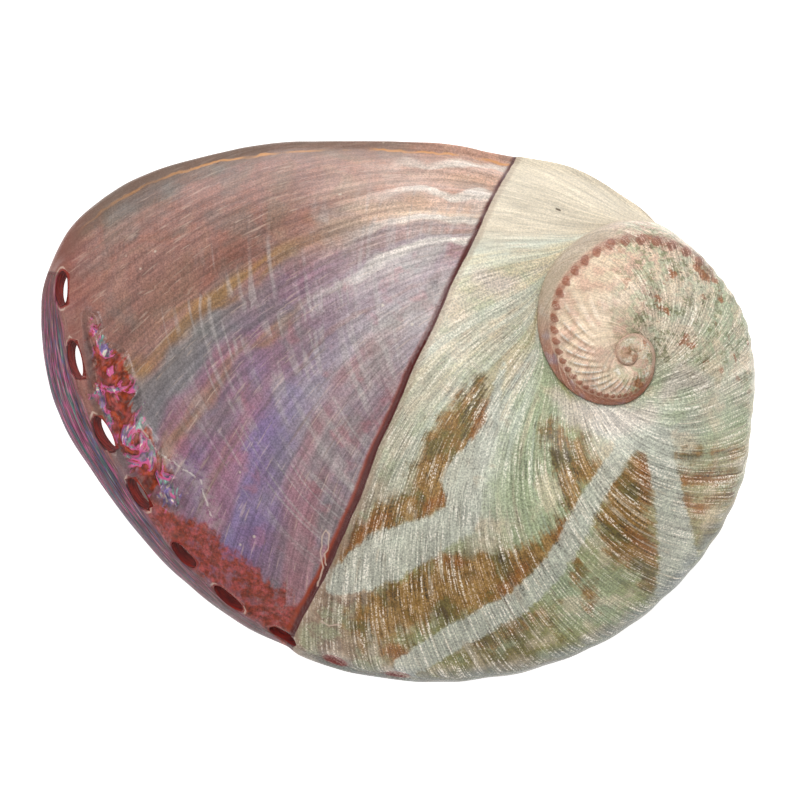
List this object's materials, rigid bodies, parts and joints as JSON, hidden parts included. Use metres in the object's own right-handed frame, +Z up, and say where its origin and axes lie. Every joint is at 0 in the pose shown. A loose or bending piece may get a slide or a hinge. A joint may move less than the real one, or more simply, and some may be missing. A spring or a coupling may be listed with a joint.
{
  "type": "abalone shell",
  "caption": "Polished abalone shell lying on its rim: low ear-shaped coil with a small spire, a row of breathing holes along one side and an open bowl below.",
  "frame": {"origin": "middle of the shell's footprint, on the surface that its rim rests on", "axes": "+X along the shell's length towards the spire end, +Z up through the back of the shell"},
  "size_m": [0.1204, 0.0914, 0.0294],
  "materials": {
    "shell": "polished shell: pink, lavender and silver mother-of-pearl, with green, cream and brown growth layers on one side"
  },
  "bodies": {
    "root": {"shell": "shell"}
  },
  "joints": []
}
